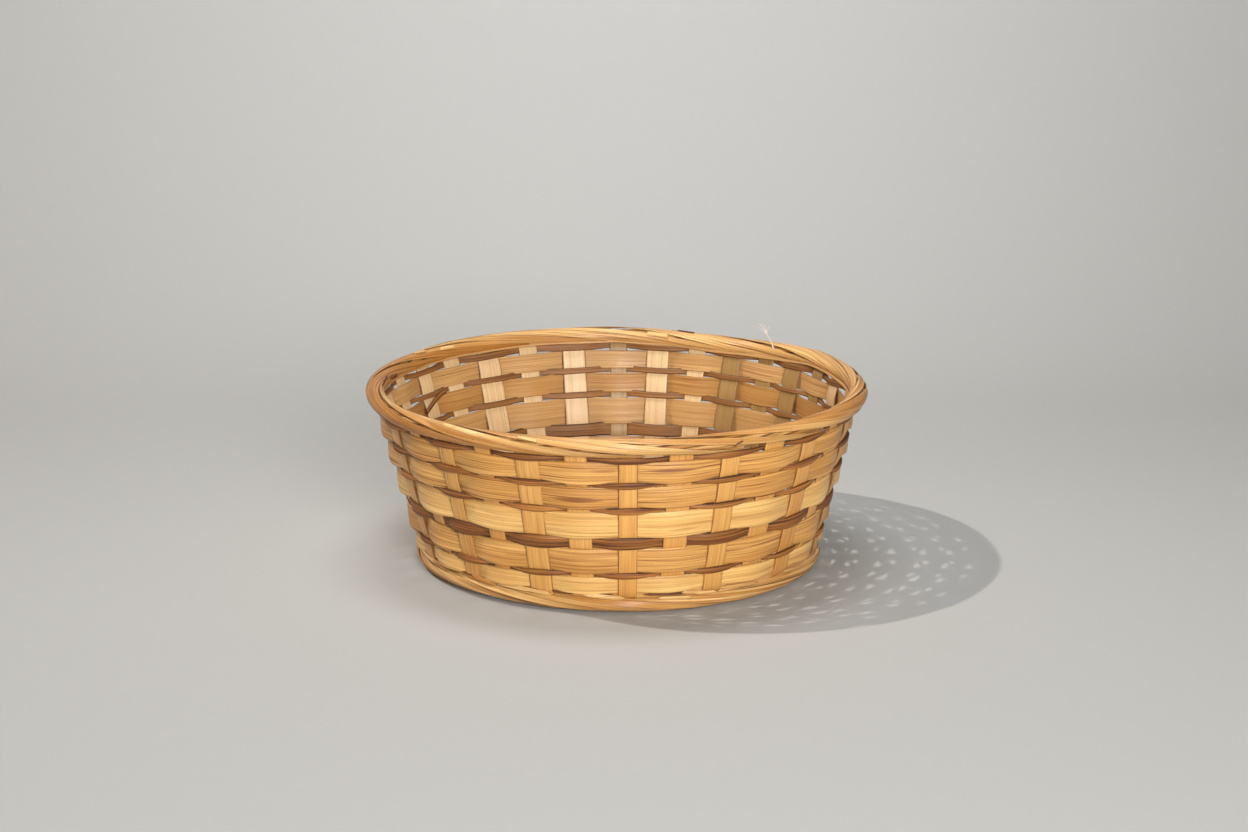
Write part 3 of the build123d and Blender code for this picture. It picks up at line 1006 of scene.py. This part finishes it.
tail = lay_splints("loose_weaver_tail", [inside_strip(
    [(20.45, 68.6, 1.9), (20.7, 68.0, 2.7), (21.1, 65.0, 3.2), (21.42, 62.0, 3.0)], 2.8, 0.9, 0.1)],
    SMOKED_CANE, sides=8, squareness=0.6)
settle(tail, "dark_weavers", "loose_tail")


def on_rim(points, wide, thick, tint, proud=0.35, count=14):
    """A short piece lying on the rim through (angle, turn, extra height)."""
    angle, turn, extra = through(points, count)
    turn = np.radians(turn)
    r = outward(angle)
    out = unit(r * np.cos(turn)[:, None] + UP * np.sin(turn)[:, None])
    radius = rim_middle[0] + rim_swell(angle)
    at = (r * radius[:, None] + UP * (rim_middle[1] + rim_lift(angle))[:, None]
          + out * (RIM_TALL / 2 + proud) + UP * extra[:, None])
    along = unit(np.gradient(at, axis=0))
    side = unit(np.cross(along, out))
    return {"at": at, "out": unit(np.cross(side, along)), "side": side, "wide": wide,
            "thick": thick, "start": 60.0 * tint, "tint": tint}


# Pale cut ends lying on the rim; the one at the front, from 338 to 342.5 degrees, is a painted
# highlight standing in for a glint.
cut_ends_and_glint = lay_splints("rim_cut_ends_and_glint", [
    on_rim([(172.3, 150, 0), (166.7, 156, 0)], 2.6, 0.5, -0.9),
    on_rim([(233.0, 136, 0), (228.0, 148, 0)], 2.4, 0.5, -0.9),
    on_rim([(242.0, 104, 0), (238.2, 116, 0)], 2.0, 0.5, -0.8),
    on_rim([(338.0, 56, 0), (342.5, 38, 0)], 1.5, 0.5, -0.9)],
    ROLL_CANE, sides=8, squareness=0.5)
settle(cut_ends_and_glint, "rim_splints")
dark_ends = lay_splints("rim_dark_ends", [
    on_rim([(274, 150, 0), (269, 158, 0), (264, 150, 0)], 1.2, 0.4, 0.9, 0.15),
    on_rim([(262, 172, 0), (256, 190, 0)], 2.2, 0.6, 0.3, 0.3),
    on_rim([(25.6, -16, 0), (26.3, -4, 0), (27.6, 10, 0)], 1.0, 0.5, 0.5),
    on_rim([(164.5, 84, 0), (160.0, 92, 0)], 1.3, 0.7, 0.5)],
    SMOKED_CANE, sides=8, squareness=0.5)
settle(dark_ends, "rim_splints")


def fibre(points, wide, count=18):
    """A hair of split cane standing free through (angle, radius, height)."""
    angle, radius, z = through(points, count)
    at = outward(angle) * radius[:, None] + UP * z[:, None]
    along = unit(np.gradient(at, axis=0))
    out = -outward(angle)
    side = unit(np.cross(along, out))
    taper = np.linspace(1.0, 0.45, count)
    return {"at": at, "out": out, "side": side, "wide": wide * taper, "thick": 0.22 * taper,
            "start": 3.0, "tint": -0.9}


# One torn fibre, split into a brush at its tip: lean, height and width of each hair.
frayed = [fibre([(134.8, 116.4, 88.0), (135.6, 117.0, 90.4), (137.2, 118.0, 93.2),
                 (138.3, 118.4, 95.4)], 1.15)]
for lean, tall, wide in ((2.4, 5.0, 0.5), (1.3, 5.6, 0.42), (0.2, 4.8, 0.45), (-0.9, 4.2, 0.35),
                         (3.2, 3.4, 0.35)):
    frayed.append(fibre([(137.9, 118.3, 94.6), (138.3 + lean * 0.45, 118.6, 94.9 + tall * 0.5),
                         (138.3 + lean, 118.8, 95.0 + tall)], wide))
hair = lay_splints("rim_frayed_fibre", frayed, FIBRE_CANE, sides=6, squareness=0.8)
settle(hair, "rim_splints")


# ---------------------------------------------------------------- studio

# The paper, in metres: half its width, where it starts to rise, the radius of
# the rise, its top, and the size of its fine tooth and of its faint clouding.
PAPER_HALF = 2.6
PAPER_BEND = 0.32
PAPER_RADIUS = 0.62
PAPER_TOP = 2.4
PAPER_TOOTH = 1 / 700
PAPER_CLOUD = 0.5


def sweep():
    """Seamless paper: a level floor that curves up behind the basket."""
    profile = [(-PAPER_HALF, 0.0)]
    profile += [(y, 0.0) for y in np.linspace(-2.4, 0.30, 28)]
    for degrees in np.linspace(0, 90, 41):
        a = math.radians(degrees)
        profile.append((PAPER_BEND + PAPER_RADIUS * math.sin(a), PAPER_RADIUS * (1 - math.cos(a))))
    profile.append((PAPER_BEND + PAPER_RADIUS, PAPER_TOP))
    xs = np.linspace(-PAPER_HALF, PAPER_HALF, 27)
    mesh = bpy.data.meshes.new("paper_sweep")
    verts = [(x, y, z) for (y, z) in profile for x in xs]
    faces = []
    for i in range(len(profile) - 1):
        for j in range(len(xs) - 1):
            a = i * len(xs) + j
            faces.append((a, a + 1, a + len(xs) + 1, a + len(xs)))
    mesh.from_pydata(verts, [], faces)
    mesh.polygons.foreach_set("use_smooth", [True] * len(mesh.polygons))
    paper = bpy.data.objects.new("paper_sweep", mesh)
    bpy.context.scene.collection.objects.link(paper)
    # Uncoated paper, pressed and unprinted: one even pale grey with no shine.
    material = bpy.data.materials.new("matt_background_paper")
    material.use_nodes = True
    tree = material.node_tree
    tree.nodes.clear()
    at = add(tree, "ShaderNodeTexCoord")
    tooth = add(tree, NOISE, None, {"Vector": at.outputs["Object"], "Scale": 1 / PAPER_TOOTH,
                                    "Detail": 2.0})
    cloud = add(tree, NOISE, None, {"Vector": at.outputs["Object"], "Scale": 1 / PAPER_CLOUD,
                                    "Detail": 1.0})
    colour = add(tree, MIX, {"data_type": "RGBA"},
                 {0: cloud, 6: linear("#B5B6B5"), 7: linear("#B3B4B4")})
    relief = add(tree, "ShaderNodeBump", None, {"Height": tooth, "Strength": 0.05,
                                                "Distance": 0.0002})
    shader = add(tree, "ShaderNodeBsdfPrincipled", None, {
        "Base Color": colour.outputs[2], "Roughness": 0.85, "Normal": relief.outputs[0],
        "Specular IOR Level": 0.2})
    add(tree, "ShaderNodeOutputMaterial", None, {"Surface": shader})
    mesh.materials.append(material)


sweep()


def lamp(name, place, target, power, size, colour="#FFFFFF", tall=None, spread=180.0):
    """A soft lamp, round or with a height of its own; metres, watts, degrees."""
    light = bpy.data.lights.new(name, "AREA")
    light.energy = power
    light.color = linear(colour)[:3]
    light.spread = math.radians(spread)
    if tall:
        light.shape = "RECTANGLE"
        light.size, light.size_y = size, tall
    else:
        light.shape = "DISK"
        light.size = size
    holder = bpy.data.objects.new(name, light)
    bpy.context.scene.collection.objects.link(holder)
    holder.location = place
    away = np.array(place) - np.array(target)
    holder.rotation_mode = "QUATERNION"
    holder.rotation_quaternion = Vector(away).to_track_quat("Z", "Y")


# The key is small and far off to the left, so the shadow is crisp; the big
# panel beside the camera does most of the lighting, and a lamp with a narrow
# spread each falls on the paper behind and on the table.
BASKET = (0, 0, 0.05)
KEY_DISTANCE = 4.0
key_way = np.array([-0.65, 0.02, 0.90])
key_way = key_way / np.linalg.norm(key_way)
lamp("key_lamp", tuple(key_way * KEY_DISTANCE), BASKET, 80.0, 0.09, "#FFF6EC")
lamp("camera_side_panel", (0.28, -1.55, 0.55), (0, 0.3, 0.1), 25.5, 0.6, "#FFFDF8", tall=0.5)
lamp("paper_lamp", (0.0, -0.3, 1.1), (0, 0.95, 0.3), 1.5, 0.5, tall=0.3, spread=64.0)
lamp("top_fill", (0.0, 0.05, 1.3), BASKET, 1.15, 0.6, tall=0.4, spread=70.0)
lamp("right_strip", (0.66, -1.38, 0.32), BASKET, 1.8, 0.12, tall=0.6)
lamp("left_fill", (-1.3, -0.9, 0.7), BASKET, 0.5, 0.7, "#F4F8FF", tall=0.7)

world = bpy.data.worlds.new("studio_air")
bpy.context.scene.world = world
world.use_nodes = True
background = world.node_tree.nodes["Background"]
background.inputs["Color"].default_value = linear("#E8ECF0")
background.inputs["Strength"].default_value = 0.01

# The camera: a long lens, 14 degrees above the table.
LENS = 76.978846         # focal length and sensor width in millimetres
SENSOR = 36.0
DISTANCE = 1.3468
ELEVATION = math.radians(14.0)
ROLL = math.radians(0.08)
target = np.array([0.00337, 0.0, 0.0717])
back = np.array([0.0, -math.cos(ELEVATION), math.sin(ELEVATION)])
camera_data = bpy.data.cameras.new("camera")
camera_data.sensor_width = SENSOR
camera_data.lens = LENS
camera_data.clip_start = 0.05
camera_data.clip_end = 20.0
camera = bpy.data.objects.new("camera", camera_data)
bpy.context.scene.collection.objects.link(camera)
camera.location = target + back * DISTANCE
camera.rotation_mode = "XYZ"
camera.rotation_euler = (math.pi / 2 - ELEVATION, ROLL, 0.0)
bpy.context.scene.camera = camera
bpy.context.scene.view_settings.view_transform = "Standard"
